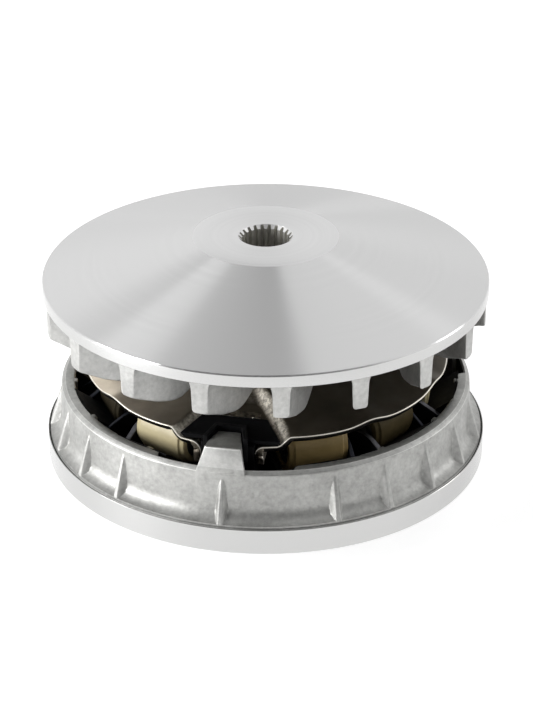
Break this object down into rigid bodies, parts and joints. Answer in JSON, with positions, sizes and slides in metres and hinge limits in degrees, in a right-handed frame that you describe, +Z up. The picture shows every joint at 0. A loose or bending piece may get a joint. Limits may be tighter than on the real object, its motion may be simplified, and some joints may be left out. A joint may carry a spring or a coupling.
{
  "type": "variator drive pulley set",
  "caption": "Belt-drive variator pulley pair stacked for storage: finned roller case with weights and ramp plate below, bladed conical sheave with a splined bore on top.",
  "frame": {"origin": "centre of the flat hub ring that the set stands on", "axes": "+Z up along the shaft axis, from the sliding sheave to the fixed sheave's hub face; -Y faces the guide tower seen at the front"},
  "size_m": [0.16, 0.16, 0.0975],
  "materials": {
    "cast_aluminium": "satin as-cast with a machined band",
    "turned_aluminium": "fine turned cone, as-cast blades",
    "pressed_steel": "bronze-brown pressed steel with bright cut edges",
    "hub_steel": "ground",
    "black_plastic": "textured black",
    "tan_nylon": "satin tan",
    "weight_steel": "dull sintered",
    "bronze": "oiled",
    "seal_rubber": "matt"
  },
  "bodies": {
    "sliding_sheave": {"sliding_sheave": "cast_aluminium", "guide_bush": "bronze", "grease_seal_lower": "seal_rubber", "grease_seal_upper": "seal_rubber"},
    "ramp_plate": {"ramp_plate": "pressed_steel", "ramp_plate_hub": "hub_steel", "collar": "hub_steel", "slide_1": "black_plastic", "slide_2": "black_plastic", "slide_3": "black_plastic"},
    "roller_1": {"roller_sleeve_1": "tan_nylon", "roller_core_1": "weight_steel"},
    "roller_2": {"roller_sleeve_2": "tan_nylon", "roller_core_2": "weight_steel"},
    "roller_3": {"roller_sleeve_3": "tan_nylon", "roller_core_3": "weight_steel"},
    "roller_4": {"roller_sleeve_4": "tan_nylon", "roller_core_4": "weight_steel"},
    "roller_5": {"roller_sleeve_5": "tan_nylon", "roller_core_5": "weight_steel"},
    "roller_6": {"roller_sleeve_6": "tan_nylon", "roller_core_6": "weight_steel"},
    "roller_7": {"roller_sleeve_7": "tan_nylon", "roller_core_7": "weight_steel"},
    "roller_8": {"roller_sleeve_8": "tan_nylon", "roller_core_8": "weight_steel"},
    "roller_9": {"roller_sleeve_9": "tan_nylon", "roller_core_9": "weight_steel"},
    "fixed_sheave": {"fixed_sheave": "turned_aluminium"}
  },
  "joints": [
    {"name": "plate_lift", "type": "slide", "parent": "sliding_sheave", "child": "ramp_plate", "axis": [0, 0, 1], "range_m": [0, 0.008]},
    {"name": "roller_1_ramp", "type": "slide", "parent": "sliding_sheave", "child": "roller_1", "axis": [0.2435, -0.7494, 0.6157], "range_m": [0, 0.01051]},
    {"name": "roller_2_ramp", "type": "slide", "parent": "sliding_sheave", "child": "roller_2", "axis": [0.6019, -0.5086, 0.6157], "range_m": [0, 0.01051]},
    {"name": "roller_3_ramp", "type": "slide", "parent": "sliding_sheave", "child": "roller_3", "axis": [0.7796, -0.1151, 0.6157], "range_m": [0, 0.01051]},
    {"name": "roller_4_ramp", "type": "slide", "parent": "sliding_sheave", "child": "roller_4", "axis": [0.5273, 0.5856, 0.6157], "range_m": [0, 0.01051]},
    {"name": "roller_5_ramp", "type": "slide", "parent": "sliding_sheave", "child": "roller_5", "axis": [0.1395, 0.7756, 0.6157], "range_m": [0, 0.01051]},
    {"name": "roller_6_ramp", "type": "slide", "parent": "sliding_sheave", "child": "roller_6", "axis": [-0.2901, 0.7327, 0.6157], "range_m": [0, 0.01051]},
    {"name": "roller_7_ramp", "type": "slide", "parent": "sliding_sheave", "child": "roller_7", "axis": [-0.7708, 0.1638, 0.6157], "range_m": [0, 0.01051]},
    {"name": "roller_8_ramp", "type": "slide", "parent": "sliding_sheave", "child": "roller_8", "axis": [-0.7414, -0.2669, 0.6157], "range_m": [0, 0.01051]},
    {"name": "roller_9_ramp", "type": "slide", "parent": "sliding_sheave", "child": "roller_9", "axis": [-0.4895, -0.6176, 0.6157], "range_m": [0, 0.01051]},
    {"name": "fixed_sheave_lift", "type": "slide", "parent": "ramp_plate", "child": "fixed_sheave", "axis": [0, 0, 1], "range_m": [0, 0.06]}
  ],
  "couplings": [
    {"joint": "roller_1_ramp", "follows": "plate_lift", "ratio": 1.3007},
    {"joint": "roller_2_ramp", "follows": "plate_lift", "ratio": 1.3007},
    {"joint": "roller_3_ramp", "follows": "plate_lift", "ratio": 1.3007},
    {"joint": "roller_4_ramp", "follows": "plate_lift", "ratio": 1.3007},
    {"joint": "roller_5_ramp", "follows": "plate_lift", "ratio": 1.3007},
    {"joint": "roller_6_ramp", "follows": "plate_lift", "ratio": 1.3007},
    {"joint": "roller_7_ramp", "follows": "plate_lift", "ratio": 1.3007},
    {"joint": "roller_8_ramp", "follows": "plate_lift", "ratio": 1.3007},
    {"joint": "roller_9_ramp", "follows": "plate_lift", "ratio": 1.3007}
  ]
}
